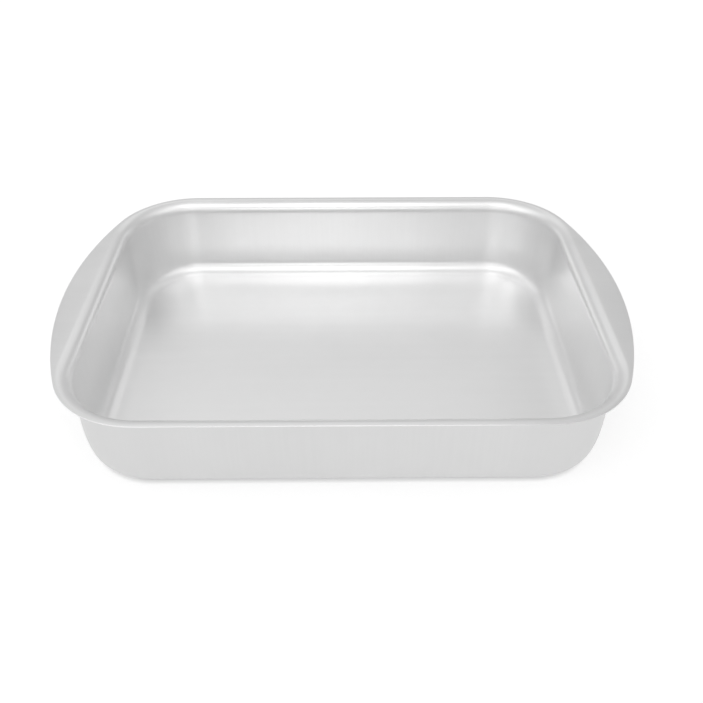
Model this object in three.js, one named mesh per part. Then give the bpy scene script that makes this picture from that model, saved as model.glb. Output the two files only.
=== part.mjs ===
import * as THREE from 'three';

// A roasting pan pressed from one sheet of aluminium: a flat floor, steep walls with round corners, and a
// rim that turns outward and widens into a lifting lug at each end. Millimetres, +Z up, length along X.
// The origin lies on the resting plane, under the middle of the pan.

// Driving dimensions
const openingLength = 348; // inside, between the end walls where they meet the plane of the rim
const openingWidth = 264; // inside, between the side walls at the same level
const cornerRadius = 51; // plan radius of the inside corners at the same level
const panHeight = 65; // resting plane to the upper face of the rim
const sheetThickness = 1.2;
const wallDraftDegrees = 1; // lean of the straight walls away from upright
const floorBendRadius = 12; // inside face, from the floor to the foot of the wall
const footCurveRadius = 85; // inside face, the gentle curve from that bend into the straight wall
const footCurveDegrees = 11;
const rimBendRadius = 9.5; // upper face, from wall to rim
const sideRimWidth = 1.65; // flat of the rim beyond its bend, along the sides and round the corners
const lugWidth = 16.65; // flat of a lug beyond the same bend, at the middle of its length
const edgeRadius = 0.3; // rounding of the trimmed edge

// Fineness of the facets
const bendFacetDegrees = 15;
const footFacetDegrees = 4;
const cornerFacetDegrees = 6.5;
const edgeFacetDegrees = 45;
const straightFacet = 20;

const wallDraft = THREE.MathUtils.degToRad(wallDraftDegrees);
const footLean = wallDraft + THREE.MathUtils.degToRad(footCurveDegrees);
const quarterTurn = Math.PI / 2;

// The walls are swept round a spine, the rectangle that joins the centres of the four corners.
const spineX = openingLength / 2 - cornerRadius;
const spineY = openingWidth / 2 - cornerRadius;

// The centres of the section's curves, as a distance from the spine and a height. The rim's bend joins the
// wall and the rim, and starts this far from where they would meet.
const rimSetback = rimBendRadius * Math.tan((quarterTurn - wallDraft) / 2);
const rimBend = {
  reach: cornerRadius + rimSetback,
  height: panHeight - rimBendRadius,
};
const floorBendHeight = sheetThickness + floorBendRadius;
const footCurveHeight = floorBendHeight + (footCurveRadius - floorBendRadius) * Math.sin(footLean);
const wallFootHeight = footCurveHeight - footCurveRadius * Math.sin(wallDraft);
const wallFootReach = cornerRadius - (panHeight - wallFootHeight) * Math.tan(wallDraft);
const footCurve = {
  reach: wallFootReach - footCurveRadius * Math.cos(wallDraft),
  height: footCurveHeight,
};
const floorBend = {
  reach: footCurve.reach + (footCurveRadius - floorBendRadius) * Math.cos(footLean),
  height: floorBendHeight,
};

// The trimmed outline keeps one distance from the bend along the sides and round the corners. At each
// end it runs on into a lug, a flatter arc that touches both corner arcs and is centred on the X axis.
const rimReach = rimBend.reach + sideRimWidth;
const lugReach = rimBend.reach + lugWidth;
const lugBulge = lugReach - rimReach;
const lugRadius = rimReach + (lugBulge ** 2 + spineY ** 2) / (2 * lugBulge);
const lugCentreX = spineX + lugReach - lugRadius;
const lugHalfAngle = Math.atan2(spineY, spineX - lugCentreX);

function stepsFor(span, facet) {
  return Math.max(1, Math.ceil(span / facet));
}

// Angles from one direction to another in equal steps, both ends included.
function sweepAngles(from, to, facetDegrees) {
  const steps = stepsFor(Math.abs(to - from), THREE.MathUtils.degToRad(facetDegrees));
  return Array.from({ length: steps + 1 }, (_, i) => from + ((to - from) * i) / steps);
}

// Stations round the spine, counter-clockwise seen from above. Each is a point of the spine and the
// direction in which the pan's section stands there.
function spineStations() {
  const corners = [[1, 1], [-1, 1], [-1, -1], [1, -1]];
  const stations = [];
  corners.forEach(([signX, signY], k) => {
    const here = new THREE.Vector2(signX * spineX, signY * spineY);
    const next = new THREE.Vector2(corners[(k + 1) % 4][0] * spineX, corners[(k + 1) % 4][1] * spineY);
    const start = k * quarterTurn;
    const end = start + quarterTurn;
    const lugMeetsCorner = k % 2 === 0 ? start + lugHalfAngle : end - lugHalfAngle;
    const angles = [
      ...sweepAngles(start, lugMeetsCorner, cornerFacetDegrees),
      ...sweepAngles(lugMeetsCorner, end, cornerFacetDegrees).slice(1),
    ];
    angles.forEach((angle) => stations.push({ spine: here, angle }));
    // An even count puts a station at the middle of each side, so each lug keeps its full width.
    const steps = 2 * stepsFor(here.distanceTo(next) / 2, straightFacet);
    for (let i = 1; i < steps; i += 1) {
      stations.push({ spine: here.clone().lerp(next, i / steps), angle: end });
    }
  });
  return stations;
}

const stations = spineStations();

function pointAt(station, reach, height) {
  const x = station.spine.x + reach * Math.cos(station.angle);
  const y = station.spine.y + reach * Math.sin(station.angle);
  return new THREE.Vector3(x, y, height);
}

// A level line of the pan at one distance from the spine.
function wallRing(reach, height) {
  return stations.map((station) => pointAt(station, reach, height));
}

// Level lines through a bend, between two directions of its own round section.
function bendRings(bend, radius, from, to, facetDegrees) {
  return sweepAngles(from, to, facetDegrees).map((angle) =>
    wallRing(bend.reach + radius * Math.cos(angle), bend.height + radius * Math.sin(angle)));
}

// Distance from a station to the trimmed outline, drawn in by an inset.
function outlineReach(station, inset) {
  const direction = new THREE.Vector2(Math.cos(station.angle), Math.sin(station.angle));
  const offLugAxis = Math.abs(Math.atan2(direction.y, Math.abs(direction.x)));
  if (offLugAxis >= lugHalfAngle) {
    return rimReach - inset;
  }
  const lugCentre = new THREE.Vector2(Math.sign(direction.x) * lugCentreX, 0);
  const fromCentre = station.spine.clone().sub(lugCentre);
  const along = fromCentre.dot(direction);
  return Math.sqrt(along ** 2 - fromCentre.lengthSq() + (lugRadius - inset) ** 2) - along;
}

function outlineRing(inset, height) {
  return stations.map((station) => pointAt(station, outlineReach(station, inset), height));
}

// The trimmed edge, rounded over from the upper face to the underside.
function edgeRings() {
  const radius = Math.min(edgeRadius, sheetThickness / 2.5);
  const roundOver = (from, to, centreHeight) =>
    sweepAngles(from, to, edgeFacetDegrees).map((angle) =>
      outlineRing(radius * (1 - Math.cos(angle)), centreHeight + radius * Math.sin(angle)));
  return [
    ...roundOver(quarterTurn, 0, panHeight - radius),
    ...roundOver(0, -quarterTurn, panHeight - sheetThickness + radius),
  ];
}

// Skins a run of rings, each with one point per station, and closes both ends with a flat disc.
function loftRings(rings) {
  const count = stations.length;
  const points = rings.flat();
  const lastRing = (rings.length - 1) * count;
  const startHub = points.length;
  const endHub = startHub + 1;
  points.push(new THREE.Vector3(0, 0, rings[0][0].z));
  points.push(new THREE.Vector3(0, 0, rings[rings.length - 1][0].z));
  const faces = [];
  for (let i = 0; i < count; i += 1) {
    const j = (i + 1) % count;
    faces.push(startHub, i, j);
    faces.push(endHub, lastRing + j, lastRing + i);
    for (let row = 0; row < lastRing; row += count) {
      faces.push(row + i, row + count + i, row + count + j);
      faces.push(row + i, row + count + j, row + j);
    }
  }
  const geometry = new THREE.BufferGeometry().setFromPoints(points);
  geometry.setIndex(faces);
  geometry.computeVertexNormals();
  return geometry;
}

// The sheet's inside face from the floor up and over to the rim, its trimmed edge, then its outside face
// back down to the base. Both faces of a bend share one centre.
function makePan() {
  const onFloor = -quarterTurn;
  const onFoot = -footLean;
  const onWallAboveFoot = -wallDraft;
  const onWallBelowRim = Math.PI - wallDraft;
  const onRim = quarterTurn;
  const outerFloorRadius = floorBendRadius + sheetThickness;
  const outerFootRadius = footCurveRadius + sheetThickness;
  const innerRimRadius = rimBendRadius - sheetThickness;
  const rings = [
    ...bendRings(floorBend, floorBendRadius, onFloor, onFoot, bendFacetDegrees),
    ...bendRings(footCurve, footCurveRadius, onFoot, onWallAboveFoot, footFacetDegrees).slice(1),
    ...bendRings(rimBend, rimBendRadius, onWallBelowRim, onRim, bendFacetDegrees),
    ...edgeRings(),
    ...bendRings(rimBend, innerRimRadius, onRim, onWallBelowRim, bendFacetDegrees),
    ...bendRings(footCurve, outerFootRadius, onWallAboveFoot, onFoot, footFacetDegrees),
    ...bendRings(floorBend, outerFloorRadius, onFoot, onFloor, bendFacetDegrees).slice(1),
  ];
  const aluminium = new THREE.MeshStandardMaterial({ color: 0xd6d6d6, roughness: 0.38, metalness: 1 });
  const pan = new THREE.Mesh(loftRings(rings), aluminium);
  pan.name = 'pan_body';
  return pan;
}

const roastingPan = new THREE.Group();
roastingPan.add(makePan());

export default roastingPan;
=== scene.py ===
import math

import bmesh
import bpy
from mathutils import Matrix, Vector


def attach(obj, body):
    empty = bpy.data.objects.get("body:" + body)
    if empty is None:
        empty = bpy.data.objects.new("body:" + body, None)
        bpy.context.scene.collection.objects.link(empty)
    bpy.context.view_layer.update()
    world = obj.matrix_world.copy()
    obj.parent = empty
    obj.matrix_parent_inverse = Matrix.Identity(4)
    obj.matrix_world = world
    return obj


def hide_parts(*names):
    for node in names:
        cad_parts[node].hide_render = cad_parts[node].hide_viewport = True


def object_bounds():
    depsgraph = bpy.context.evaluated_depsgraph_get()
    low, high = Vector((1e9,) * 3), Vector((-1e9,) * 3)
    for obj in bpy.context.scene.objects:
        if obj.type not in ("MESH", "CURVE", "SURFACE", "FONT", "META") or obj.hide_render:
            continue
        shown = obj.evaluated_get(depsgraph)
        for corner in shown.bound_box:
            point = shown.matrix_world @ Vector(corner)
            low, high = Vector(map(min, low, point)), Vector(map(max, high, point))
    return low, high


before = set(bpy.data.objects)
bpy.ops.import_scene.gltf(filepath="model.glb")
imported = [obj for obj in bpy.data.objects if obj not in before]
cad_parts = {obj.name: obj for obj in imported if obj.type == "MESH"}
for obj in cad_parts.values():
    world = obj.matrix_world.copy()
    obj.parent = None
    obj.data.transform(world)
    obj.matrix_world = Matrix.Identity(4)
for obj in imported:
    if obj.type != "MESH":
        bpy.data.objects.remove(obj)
cadLow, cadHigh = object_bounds()
print("frame loaded, CAD box", [round(v, 4) for v in cadLow], [round(v, 4) for v in cadHigh])

scene = bpy.context.scene
scene.view_settings.view_transform = "Standard"

quarterTurn = math.pi / 2
upAxis = (0, 0, 1)
weldGap = 5e-5  # vertices this close are one
seedSize = 0.001  # plane that is drawn together into one vertex


# operator helpers

def deselectAll():
    if bpy.context.object and bpy.context.object.mode != "OBJECT":
        bpy.ops.object.mode_set(mode="OBJECT")
    bpy.ops.object.select_all(action="DESELECT")


def seedVertex(place):
    # a small plane drawn together into the one vertex that a line grows from
    bpy.ops.mesh.primitive_plane_add(size=seedSize, location=(0, 0, 0))
    if bpy.context.object.mode != "EDIT":
        bpy.ops.object.mode_set(mode="EDIT")
    bpy.ops.mesh.merge(type="CENTER")
    bpy.ops.transform.translate(value=place)


def spinAbout(centre, axis, angle, steps):
    # the spin operator turns clockwise seen down its axis, so the angle changes sign
    bpy.ops.mesh.spin(steps=steps, angle=-angle, center=centre, axis=axis)


def pullAlong(move, steps):
    part = Vector(move) / steps
    for _ in range(steps):
        bpy.ops.mesh.extrude_region_move(TRANSFORM_OT_translate={"value": part})


def weldAll():
    bpy.ops.mesh.select_all(action="SELECT")
    bpy.ops.mesh.remove_doubles(threshold=weldGap)


def selectOpenEdges(obj, wanted):
    # loose edges and the edges of openings, where both ends are wanted
    bpy.ops.mesh.select_mode(type="EDGE")
    bpy.ops.mesh.select_all(action="DESELECT")
    shape = bmesh.from_edit_mesh(obj.data)
    for edge in shape.edges:
        if len(edge.link_faces) < 2 and all(wanted(v.co) for v in edge.verts):
            edge.select_set(True)
    shape.select_flush_mode()
    bmesh.update_edit_mesh(obj.data)


def applyModifier(obj, name, kind, **settings):
    modifier = obj.modifiers.new(name, kind)
    for key, value in settings.items():
        setattr(modifier, key, value)
    bpy.ops.object.modifier_apply(modifier=name)


# the pressed pan

panSheet = {
    "thickness": 0.0012,
    "cornerRadius": 0.051,  # inside, at the level of the rim
    "floorBend": 0.012,
    "footCurve": (0.085, math.radians(11)),  # radius and turn of the gentle curve up into the wall
    "wallLean": math.radians(1),  # lean of the straight wall away from upright
    "rimBend": 0.0095,
    "sideRim": 0.00165,  # flat beyond the rim's bend
    "lugWidth": 0.01665,  # the same at the middle of a lug
    "edgeRound": 0.0003,
    "edgeFacets": 3,
    "edgeAngle": math.radians(60),  # only the trimmed edge turns more sharply
    "smoothAngle": math.radians(40),
    "trimLift": 0.02,  # keeps the two loops of the rim apart until they are bridged
    "footSteps": 8,
    "bendSteps": 16,
    "wallSteps": 8,
    "shoulderSteps": 7,  # corner up to where the lug leaves it
    "cornerSteps": 20,
    "endSteps": 24,
    "sideSteps": 36,
    "rimCuts": 3,
    "floorRings": 16,
}


def sectionRuns(sheet, height):
    # from the floor up to the rim: each arc's radius, turn and steps, and the wall's length, with no turn
    footRadius, footTurn = sheet["footCurve"]
    lean = sheet["wallLean"]
    bendTurn = quarterTurn - lean - footTurn
    climb = height - sheet["thickness"]
    climb -= sheet["floorBend"] * (1 - math.cos(bendTurn))
    climb -= footRadius * (math.cos(bendTurn) - math.sin(lean))
    climb -= sheet["rimBend"] * (1 - math.sin(lean))
    return (
        (sheet["floorBend"], bendTurn, sheet["bendSteps"]),
        (footRadius, footTurn, sheet["footSteps"]),
        (climb / math.cos(lean), 0, sheet["wallSteps"]),  # the arcs leave this climb to the wall
        (sheet["rimBend"], lean - quarterTurn, sheet["bendSteps"]),
    )


def panLines(sheet):
    # where the section, the corners and the lugs lie, from the frame's box
    height = cadHigh.z
    setback = math.tan((quarterTurn - sheet["wallLean"]) / 2)
    rimReach = sheet["cornerRadius"] + sheet["rimBend"] * setback
    spineX = cadHigh.x - rimReach - sheet["lugWidth"]
    spineY = cadHigh.y - rimReach - sheet["sideRim"]
    runs = sectionRuns(sheet, height)
    heading = sectionReach = 0
    for size, turn, _ in runs:
        if turn:
            sectionReach += size * abs(math.sin(heading + turn) - math.sin(heading))
        else:
            sectionReach += size * math.cos(heading)
        heading += turn
    edgeReach = rimReach + sheet["sideRim"]
    bulge = sheet["lugWidth"] - sheet["sideRim"]
    lugRadius = edgeReach + (bulge ** 2 + spineY ** 2) / (2 * bulge)
    lugCentre = cadHigh.x - lugRadius
    return {
        "height": height,
        "runs": runs,
        "spineX": spineX,
        "spineY": spineY,
        "floorReach": rimReach - sectionReach,
        "edgeReach": edgeReach,
        "lugCentre": lugCentre,
        "lugAngle": math.atan2(spineY, spineX - lugCentre),
    }


def squareTo(heading):
    # in the section's plane, a quarter turn from its heading
    return Vector((-math.sin(heading), 0, math.cos(heading)))


def drawSection(sheet, lines):
    # floor bend, foot curve, wall and rim bend, drawn at the start of the first corner
    pen = Vector((lines["spineX"] + lines["floorReach"], lines["spineY"], sheet["thickness"]))
    heading = 0.0
    seedVertex(pen)
    for size, turn, steps in lines["runs"]:
        if not turn:
            wall = Vector((math.cos(heading), 0, math.sin(heading))) * size
            pullAlong(wall, steps)
            pen = pen + wall
            continue
        radius = math.copysign(size, turn)
        centre = pen + squareTo(heading) * radius
        spinAbout(centre, (0, -1, 0), turn, steps)
        heading += turn
        pen = centre - squareTo(heading) * radius


def sweepSection(sheet, lines):
    # the section turns round each corner and is pulled along each side
    x, y = lines["spineX"], lines["spineY"]
    shoulder = (lines["lugAngle"], sheet["shoulderSteps"])
    corner = (quarterTurn - lines["lugAngle"], sheet["cornerSteps"])
    bpy.ops.mesh.select_all(action="SELECT")
    stretches = (
        ((x, y, 0), (shoulder, corner), (-2 * x, 0, 0), sheet["sideSteps"]),
        ((-x, y, 0), (corner, shoulder), (0, -2 * y, 0), sheet["endSteps"]),
        ((-x, -y, 0), (shoulder, corner), (2 * x, 0, 0), sheet["sideSteps"]),
        ((x, -y, 0), (corner, shoulder), (0, 2 * y, 0), sheet["endSteps"]),
    )
    for centre, turns, side, sideSteps in stretches:
        for angle, turnSteps in turns:
            spinAbout(centre, upAxis, angle, turnSteps)
        pullAlong(side, sideSteps)


def drawTrimLine(sheet, lines):
    # the trimmed outline, held above the rim for now: a lug arc, a corner, a side and a corner, twice over
    x, y, lugAngle = lines["spineX"], lines["spineY"], lines["lugAngle"]
    corner = quarterTurn - lugAngle
    lugSteps = sheet["endSteps"] + 2 * sheet["shoulderSteps"]
    level = lines["height"] + sheet["trimLift"]
    outward = Vector((math.cos(lugAngle), -math.sin(lugAngle), 0))
    bpy.ops.mesh.select_all(action="DESELECT")
    seedVertex(Vector((x, -y, level)) + lines["edgeReach"] * outward)
    for side in (1, -1):
        spinAbout((side * lines["lugCentre"], 0, 0), upAxis, 2 * lugAngle, lugSteps)
        spinAbout((side * x, side * y, 0), upAxis, corner, sheet["cornerSteps"])
        pullAlong((-2 * side * x, 0, 0), sheet["sideSteps"])
        spinAbout((-side * x, side * y, 0), upAxis, corner, sheet["cornerSteps"])


def closeFloor(obj, sheet):
    # rings drawn in from the floor bend to the middle
    selectOpenEdges(obj, lambda co: co.z < 2 * sheet["thickness"])
    for ring in range(sheet["floorRings"], 1, -1):
        shrink = (ring - 1) / ring
        bpy.ops.mesh.extrude_region_move()
        bpy.ops.transform.resize(value=(shrink, shrink, 1), center_override=(0, 0, sheet["thickness"]))
    bpy.ops.mesh.edge_face_add()
    bpy.ops.mesh.poke()


def pressPan(sheet):
    lines = panLines(sheet)
    deselectAll()
    drawSection(sheet, lines)
    sweepSection(sheet, lines)
    weldAll()
    drawTrimLine(sheet, lines)
    weldAll()
    obj = bpy.context.object
    selectOpenEdges(obj, lambda co: co.z > lines["height"] - sheet["thickness"])
    bpy.ops.mesh.bridge_edge_loops(number_cuts=sheet["rimCuts"], interpolation="LINEAR")
    bpy.ops.transform.resize(value=(1, 1, 0), center_override=(0, 0, lines["height"]))  # the rim is flat
    closeFloor(obj, sheet)
    bpy.ops.mesh.select_all(action="SELECT")
    bpy.ops.mesh.normals_make_consistent(inside=False)
    bpy.ops.object.mode_set(mode="OBJECT")
    middle = min(obj.data.polygons, key=lambda face: face.center.length)
    if middle.normal.z < 0:  # the sheet's upper face looks up before it gets its thickness
        bpy.ops.object.mode_set(mode="EDIT")
        bpy.ops.mesh.flip_normals()
        bpy.ops.object.mode_set(mode="OBJECT")
    obj.name = obj.data.name = "pan_sheet"
    bpy.ops.object.transform_apply(location=True, rotation=True, scale=True)
    obj.data.materials.append(satinFace("satin_inside", finishes["inside"]))
    obj.data.materials.append(satinFace("satin_outside_painted_shade", finishes["outside"]))
    obj.data.materials.append(trimmedEdge("trimmed_edge", finishes["edge"]))
    # the outside takes the second finish, the trimmed edge the third
    applyModifier(obj, "gauge", "SOLIDIFY", thickness=sheet["thickness"], offset=-1, use_even_offset=True,
                  material_offset=1, material_offset_rim=2)
    applyModifier(obj, "edgeRound", "BEVEL", width=sheet["edgeRound"], segments=sheet["edgeFacets"],
                  limit_method="ANGLE", angle_limit=sheet["edgeAngle"])
    bpy.ops.object.shade_smooth_by_angle(angle=sheet["smoothAngle"])
    print("pan sheet pressed,", len(obj.data.polygons), "faces")
    return obj


# node helpers

def newMaterial(name):
    material = bpy.data.materials.new(name)
    material.use_nodes = True
    return material, material.node_tree, material.node_tree.nodes["Principled BSDF"]


def newGroup(name, outputs):
    # a shared effect reads the object's own coordinates through its Place socket
    group = bpy.data.node_groups.new(name, "ShaderNodeTree")
    group.interface.new_socket(name="Place", in_out="INPUT", socket_type="NodeSocketVector")
    for socket in outputs:
        group.interface.new_socket(name=socket, in_out="OUTPUT", socket_type="NodeSocketFloat")
    return group, group.nodes.new("NodeGroupInput").outputs["Place"], group.nodes.new("NodeGroupOutput")


def useGroup(tree, group, place):
    node = tree.nodes.new("ShaderNodeGroup")
    node.node_tree = group
    tree.links.new(place, node.inputs["Place"])
    return node.outputs


def coordinates(tree, kind):
    return tree.nodes.new("ShaderNodeTexCoord").outputs[kind]


def split(tree, vector):
    node = tree.nodes.new("ShaderNodeSeparateXYZ")
    tree.links.new(vector, node.inputs["Vector"])
    return node.outputs


def combine(tree, operation, *terms):
    # one maths node, fed by sockets or plain numbers
    node = tree.nodes.new("ShaderNodeMath")
    node.operation = operation
    for socket, term in zip(node.inputs, terms):
        if isinstance(term, (int, float)):
            socket.default_value = term
        else:
            tree.links.new(term, socket)
    return node.outputs["Value"]


def layOver(tree, value, share, base):
    # the base with a share of the value added
    return combine(tree, "MULTIPLY_ADD", value, share, base)


def ramp(tree, value, limits, ends=(0.0, 1.0)):
    # eases from the first end to the second while the value goes from limit to limit
    node = tree.nodes.new("ShaderNodeMapRange")
    node.interpolation_type = "SMOOTHSTEP"
    for socket, number in zip(("From Min", "From Max", "To Min", "To Max"), (*limits, *ends)):
        node.inputs[socket].default_value = number
    tree.links.new(value, node.inputs["Value"])
    return node.outputs["Result"]


def noise(tree, place, stretch, detail=3.0, rough=0.5):
    # stretch gives the waves per metre along each axis
    mapping = tree.nodes.new("ShaderNodeMapping")
    mapping.inputs["Scale"].default_value = stretch
    tree.links.new(place, mapping.inputs["Vector"])
    node = tree.nodes.new("ShaderNodeTexNoise")
    node.inputs["Scale"].default_value = 1.0
    node.inputs["Detail"].default_value = detail
    node.inputs["Roughness"].default_value = rough
    tree.links.new(mapping.outputs["Vector"], node.inputs["Vector"])
    return node.outputs["Fac"]


def toneRamp(tree, factor, tones):
    node = tree.nodes.new("ShaderNodeValToRGB")
    for stop, tone in zip(node.color_ramp.elements, tones):
        stop.color = (tone, tone, tone, 1)
    tree.links.new(factor, node.inputs["Fac"])
    return node.outputs["Color"]


def bump(tree, height, depth, below=None):
    node = tree.nodes.new("ShaderNodeBump")
    node.inputs["Distance"].default_value = depth
    tree.links.new(height, node.inputs["Height"])
    if below:
        tree.links.new(below, node.inputs["Normal"])
    return node.outputs["Normal"]


# effects that the finishes share

pressedAreas = {
    "aboveFloor": (0.0013, 0.004),  # heights between the flat floor and the wall
    "underRim": (0.0625, 0.0648),  # heights between the wall and the flat rim
    "cornerX": (0.085, 0.125),  # distances from the middle between a straight wall and a corner
    "cornerY": (0.05, 0.085),
}

# grain is in waves per metre along X, Y and Z, and limits are the noise levels where a mark begins and
# where it is full
sheetMarks = {
    "millGrain": (45, 2600, 2600),
    "streakGrain": (5, 130, 130),
    "streakLimits": (0.3, 0.7),
    "drawGrain": (420, 420, 9),
    "drawLimits": (0.35, 0.68),
    "hazeGrain": (26, 26, 26),
    "hazeLimits": (0.3, 0.72),
    "scuffTurn": math.radians(34),  # scuffs run aslant to the mill's lines
    "scuffGrain": (22, 1500, 1500),
    "scuffLimits": (0.7, 0.76),
    "crossGrain": (1300, 30, 1300),
    "crossLimits": (0.71, 0.77),
    "spreadGrain": (38, 38, 38),  # scuffs come in patches
    "spreadLimits": (0.5, 0.66),
}


def pressedZones(area):
    # Wall is 1 where the sheet was drawn over the die, 0 on the floor and the rim
    # Corner is the round part of the wall
    group, place, result = newGroup("pressed_zones", ("Wall", "Corner"))
    spot = split(group, place)
    aboveFloor = ramp(group, spot["Z"], area["aboveFloor"])
    underRim = ramp(group, spot["Z"], area["underRim"], (1.0, 0.0))
    wall = combine(group, "MULTIPLY", aboveFloor, underRim)
    pastEnd = ramp(group, combine(group, "ABSOLUTE", spot["X"]), area["cornerX"])
    pastSide = ramp(group, combine(group, "ABSOLUTE", spot["Y"]), area["cornerY"])
    corner = combine(group, "MULTIPLY", combine(group, "MULTIPLY", pastEnd, pastSide), wall)
    group.links.new(wall, result.inputs["Wall"])
    group.links.new(corner, result.inputs["Corner"])
    return group


def rolledGrain(mark):
    # fine lines that the mill left along the length of the sheet, and broader pale streaks
    group, place, result = newGroup("rolled_grain", ("Lines", "Streaks"))
    group.links.new(noise(group, place, mark["millGrain"], detail=2.0), result.inputs["Lines"])
    streaks = noise(group, place, mark["streakGrain"])
    group.links.new(ramp(group, streaks, mark["streakLimits"]), result.inputs["Streaks"])
    return group


def drawMarks(mark):
    # faint upright marks where the walls slid over the die
    group, place, result = newGroup("draw_marks", ("Marks",))
    marks = noise(group, place, mark["drawGrain"], rough=0.6)
    group.links.new(ramp(group, marks, mark["drawLimits"]), result.inputs["Marks"])
    return group


def handling(mark):
    # cloudy haze from use, and a few hairline scuffs that run two ways
    group, place, result = newGroup("handling", ("Haze", "Scuffs"))
    haze = noise(group, place, mark["hazeGrain"], detail=4.0, rough=0.6)
    group.links.new(ramp(group, haze, mark["hazeLimits"]), result.inputs["Haze"])
    turned = group.nodes.new("ShaderNodeVectorRotate")
    turned.rotation_type = "Z_AXIS"
    turned.inputs["Angle"].default_value = mark["scuffTurn"]
    group.links.new(place, turned.inputs["Vector"])
    along = noise(group, turned.outputs["Vector"], mark["scuffGrain"], detail=2.0)
    across = noise(group, turned.outputs["Vector"], mark["crossGrain"], detail=2.0)
    spread = noise(group, place, mark["spreadGrain"], detail=2.0)
    hairlines = combine(group, "MAXIMUM", ramp(group, along, mark["scuffLimits"]),
                        ramp(group, across, mark["crossLimits"]))
    scuffs = combine(group, "MULTIPLY", hairlines, ramp(group, spread, mark["spreadLimits"]))
    group.links.new(scuffs, result.inputs["Scuffs"])
    return group


effects = {
    "zones": pressedZones(pressedAreas),
    "grain": rolledGrain(sheetMarks),
    "draw": drawMarks(sheetMarks),
    "handling": handling(sheetMarks),
}
print("shared effects built,", len(effects), "groups")


# finishes

finishes = {
    "inside": {
        "tone": (0.915, 0.945),  # duller and brighter parts of the sheet
        "flatRough": 0.285,  # floor and rim, as rolled
        "wallRough": 0.276,  # walls and bends, rubbed smooth by the die
        "cornerRough": 0.35,  # corners, where the sheet was upset most
        "roughSpread": 0.02,
        "scuffRough": 0.05,
        "grainDepth": 0.000012,
        "waveDepth": 0.0004,
    },
    "outside": {
        # the outside is the same sheet as the inside, but its tone is set much darker: painted shade for
        # the darker floor that it reflects
        "tone": (0.67, 0.7),
        "flatRough": 0.42,
        "wallRough": 0.34,
        "cornerRough": 0.42,
        "roughSpread": 0.04,
        "scuffRough": 0.05,
        "grainDepth": 0.000016,
        "waveDepth": 0.0005,
    },
    "edge": {
        "tone": (0.62, 0.93),
        "rough": (0.24, 0.36),  # where it is bright and where it is dull
        "hazeRough": 0.04,
        "shearGrain": (1900, 1900, 160),
        "shearShare": 0.35,  # what the shear marks add to the brightness, the rest is the rubbed band's
        "shearDepth": 0.00002,
        "rubbedFrom": (0.06435, 0.06475),  # heights where the rubbed band begins and is full
        "wanderGrain": (90, 90, 0),
        "wanderHeight": 0.0005,  # how far the band's lower line wanders
        "endShadeFrom": (0.07, 0.14),  # along X, where the edge is darkened towards the +X end as painted shade
        "endShadeShine": 0.2,  # brightness that is left there
    },
}

# shares of the marks in the tone and the relief of both satin faces
satinMix = {
    "marksTone": 0.35,
    "hazeTone": 0.45,
    "scuffTone": 0.3,
    "drawRelief": 0.3,
    "scuffRelief": -0.8,
    "waveGrain": (17, 21, 21),
}


def satinFace(name, finish):
    material, tree, shader = newMaterial(name)
    place = coordinates(tree, "Object")
    zones = useGroup(tree, effects["zones"], place)
    grain = useGroup(tree, effects["grain"], place)
    draw = useGroup(tree, effects["draw"], place)
    worn = useGroup(tree, effects["handling"], place)
    # draw marks show on the walls, the mill's streaks on the floor and the rim
    onWall = combine(tree, "MULTIPLY", draw["Marks"], zones["Wall"])
    onFlat = combine(tree, "MULTIPLY", grain["Streaks"], combine(tree, "SUBTRACT", 1.0, zones["Wall"]))
    marks = combine(tree, "ADD", onWall, onFlat)
    tone = combine(tree, "MULTIPLY", marks, satinMix["marksTone"])
    tone = layOver(tree, worn["Haze"], satinMix["hazeTone"], tone)
    tone = layOver(tree, worn["Scuffs"], satinMix["scuffTone"], tone)
    tree.links.new(toneRamp(tree, tone, finish["tone"]), shader.inputs["Base Color"])
    shader.inputs["Metallic"].default_value = 1
    flatRough, wallRough, cornerRough = (finish[key] for key in ("flatRough", "wallRough", "cornerRough"))
    rough = layOver(tree, zones["Wall"], wallRough - flatRough, flatRough)
    rough = layOver(tree, zones["Corner"], cornerRough - wallRough, rough)
    rough = layOver(tree, worn["Haze"], finish["roughSpread"], rough)
    rough = layOver(tree, marks, finish["roughSpread"], rough)
    rough = layOver(tree, worn["Scuffs"], finish["scuffRough"], rough)
    tree.links.new(rough, shader.inputs["Roughness"])
    waves = bump(tree, noise(tree, place, satinMix["waveGrain"], detail=1.0), finish["waveDepth"])
    relief = layOver(tree, onWall, satinMix["drawRelief"], grain["Lines"])
    relief = layOver(tree, worn["Scuffs"], satinMix["scuffRelief"], relief)
    tree.links.new(bump(tree, relief, finish["grainDepth"], waves), shader.inputs["Normal"])
    return material


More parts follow.
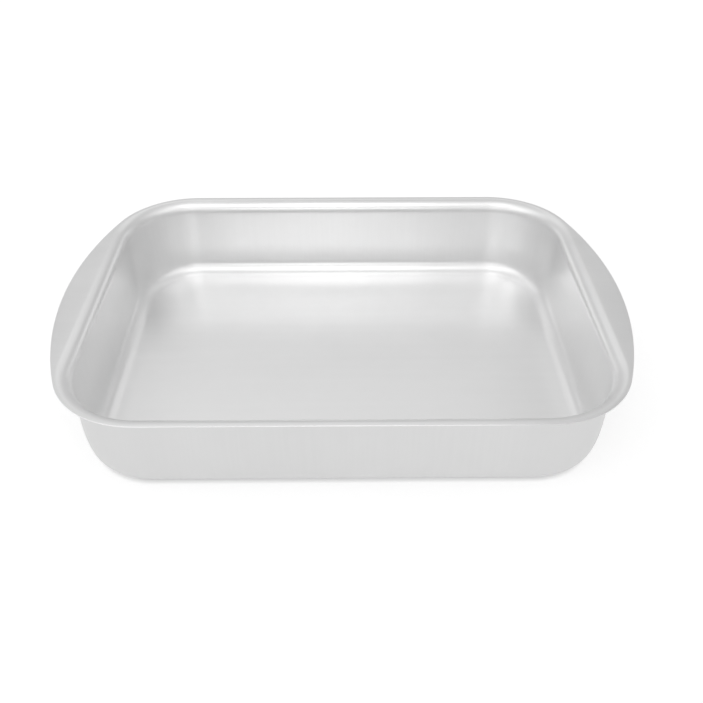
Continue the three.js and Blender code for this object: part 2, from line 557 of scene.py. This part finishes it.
def trimmedEdge(name, finish):
    # sheared at the press: rubbed bright above, torn and greyer below, with marks across the thickness;
    # darkened towards the +X end, which is painted shade
    material, tree, shader = newMaterial(name)
    place = coordinates(tree, "Object")
    spot = split(tree, place)
    worn = useGroup(tree, effects["handling"], place)
    shear = noise(tree, place, finish["shearGrain"], detail=2.0)
    wander = noise(tree, place, finish["wanderGrain"], detail=2.0)
    height = layOver(tree, wander, finish["wanderHeight"], spot["Z"])
    band = ramp(tree, height, finish["rubbedFrom"], (0.0, 1 - finish["shearShare"]))
    rubbed = layOver(tree, shear, finish["shearShare"], band)
    # the edge is darkened towards the +X end: painted shade
    endShade = ramp(tree, spot["X"], finish["endShadeFrom"], (1.0, finish["endShadeShine"]))
    rubbedAndShaded = combine(tree, "MULTIPLY", rubbed, endShade)
    tree.links.new(toneRamp(tree, rubbedAndShaded, finish["tone"]), shader.inputs["Base Color"])
    shader.inputs["Metallic"].default_value = 1
    brightRough, dullRough = finish["rough"]
    rough = layOver(tree, rubbedAndShaded, brightRough - dullRough, dullRough)
    rough = layOver(tree, worn["Haze"], finish["hazeRough"], rough)
    tree.links.new(rough, shader.inputs["Roughness"])
    tree.links.new(bump(tree, shear, finish["shearDepth"]), shader.inputs["Normal"])
    return material


# studio

studio = {
    "floorRadius": 30.0,  # round, so that the horizon is level from every side
    "floorFacets": 128,
    "floorLevel": -0.0001,  # just clear of the pan's base
    "floorColour": 0.9,  # as it lights the pan
    "floorSeen": 0.54,  # as it is seen, with the glow added
    "floorGlow": 0.62,
    "shadeReach": 0.0035,  # the glow fades this close to the pan, as a painted contact shadow
    "shadeDepth": 0.55,  # share of the glow that fades
    "farGlow": 0.09,  # added where the soft boxes light the floor less
    "farFrom": (0.45, 1.0),  # distances where that begins and is full
    "worldLight": (0.61, 0.545),  # from the pan's left to its right
    "worldFade": (-0.7, 0.7),  # between these headings along X
    "boxDistance": 1.6,
}

# soft boxes: compass angle from +X and height angle in degrees, width and height of the panel in metres,
# and its brightness, where 1 is white
softBoxes = {
    "key_low": (268, 30, 0.62, 0.3, 1.36),
    "key_high": (268, 66, 0.48, 1.06, 1.08),
    "near_left": (241, 33, 0.5, 0.48, 0.45),
    "near_right": (298, 33, 0.45, 0.48, 0.3),
    "front_left": (221, 51, 0.7, 0.88, 0.7),
    "front_right": (313, 51, 0.7, 0.92, 0.42),
    "left_box": (188, 57, 0.9, 0.85, 0.33),
    "right_box": (346, 57, 0.9, 0.85, 0.28),
    "back_box": (91, 45, 1.15, 0.46, 0.28),
    "back_left": (140, 56, 0.9, 0.6, 0.22),
    "low_right": (50, 11, 1.0, 0.42, 0.3),
    "low_left": (130, 11, 1.0, 0.42, 0.3),
    "top_box": (90, 86, 0.9, 0.9, 0.17),
}


def matt(tree, grey):
    node = tree.nodes.new("ShaderNodeBsdfDiffuse")
    node.inputs["Color"].default_value = (grey, grey, grey, 1)
    return node.outputs["BSDF"]


def floorWhite(setup):
    # camera, reflected and transmitted rays see a white floor that keeps a light shadow: a real shadow on
    # its matt part and a painted contact shadow in its glow
    material, tree, shader = newMaterial("studio_white")
    nodes, links = tree.nodes, tree.links
    nodes.remove(shader)
    # ambient occlusion darkens the glow next to the pan: a painted contact shadow
    openness = nodes.new("ShaderNodeAmbientOcclusion")
    openness.inputs["Distance"].default_value = setup["shadeReach"]
    shadeGlow = setup["floorGlow"] * setup["shadeDepth"]
    nearGlow = layOver(tree, openness.outputs["AO"], shadeGlow, setup["floorGlow"] - shadeGlow)
    distance = nodes.new("ShaderNodeVectorMath")
    distance.operation = "LENGTH"
    links.new(coordinates(tree, "Object"), distance.inputs["Vector"])
    farGlow = ramp(tree, distance.outputs["Value"], setup["farFrom"], (0.0, setup["farGlow"]))
    glow = nodes.new("ShaderNodeEmission")
    links.new(combine(tree, "ADD", nearGlow, farGlow), glow.inputs["Strength"])
    seen = nodes.new("ShaderNodeAddShader")
    links.new(matt(tree, setup["floorSeen"]), seen.inputs[0])
    links.new(glow.outputs["Emission"], seen.inputs[1])
    path = nodes.new("ShaderNodeLightPath").outputs
    mirrored = combine(tree, "MAXIMUM", path["Is Glossy Ray"], path["Is Transmission Ray"])
    mix = nodes.new("ShaderNodeMixShader")
    links.new(combine(tree, "MAXIMUM", path["Is Camera Ray"], mirrored), mix.inputs["Fac"])
    links.new(matt(tree, setup["floorColour"]), mix.inputs[1])
    links.new(seen.outputs["Shader"], mix.inputs[2])
    links.new(mix.outputs["Shader"], nodes["Material Output"].inputs["Surface"])
    return material


def layFloor(setup):
    deselectAll()
    bpy.ops.mesh.primitive_circle_add(vertices=setup["floorFacets"], radius=setup["floorRadius"],
                                      fill_type="NGON", location=(0, 0, setup["floorLevel"]))
    floor = bpy.context.object
    floor.name = floor.data.name = "studio_floor"
    floor.data.materials.append(floorWhite(setup))


def lightWorld(setup):
    world = bpy.data.worlds.new("studio")
    scene.world = world
    world.use_nodes = True
    tree = world.node_tree
    heading = split(tree, coordinates(tree, "Generated"))
    grey = ramp(tree, heading["X"], setup["worldFade"], setup["worldLight"])
    tree.links.new(grey, tree.nodes["Background"].inputs["Color"])


def hangSoftBox(name, box, distance):
    compass, rise, width, height, brightness = box
    angle, lift = math.radians(compass), math.radians(rise)
    towards = Vector((math.cos(lift) * math.cos(angle), math.cos(lift) * math.sin(angle), math.sin(lift)))
    deselectAll()
    bpy.ops.object.light_add(type="AREA", location=towards * distance)
    lamp = bpy.context.object
    lamp.name = name
    lamp.data.shape = "RECTANGLE"
    lamp.data.size, lamp.data.size_y = width, height
    lamp.data.energy = brightness * math.pi * width * height
    lamp.rotation_euler = (-towards).to_track_quat("-Z", "Y").to_euler()


# camera, from the photograph's outline of the rim

cameraSetup = {
    "place": (0.00114, -0.49664, 0.39565),
    "pitch": math.radians(37.937),  # down from level
    "yaw": math.radians(0.599),
    "roll": math.radians(0.064),
    "focalPixels": 823.46,
    "imagePixels": 703,
    "sensor": 36.0,
}


def placeCamera(setup):
    data = bpy.data.cameras.new("photo_camera")
    data.sensor_width = setup["sensor"]
    data.lens = setup["focalPixels"] / setup["imagePixels"] * setup["sensor"]
    camera = bpy.data.objects.new("photo_camera", data)
    scene.collection.objects.link(camera)
    turn = Matrix.Rotation(-setup["yaw"], 4, "Z") @ Matrix.Rotation(quarterTurn - setup["pitch"], 4, "X")
    camera.matrix_world = Matrix.Translation(setup["place"]) @ turn @ Matrix.Rotation(setup["roll"], 4, "Z")
    scene.camera = camera


# the whole scene

panPiece = pressPan(panSheet)
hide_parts("pan_body")
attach(panPiece, "root")

layFloor(studio)
lightWorld(studio)
for boxName, box in softBoxes.items():
    hangSoftBox(boxName, box, studio["boxDistance"])
placeCamera(cameraSetup)
print("studio and camera set")
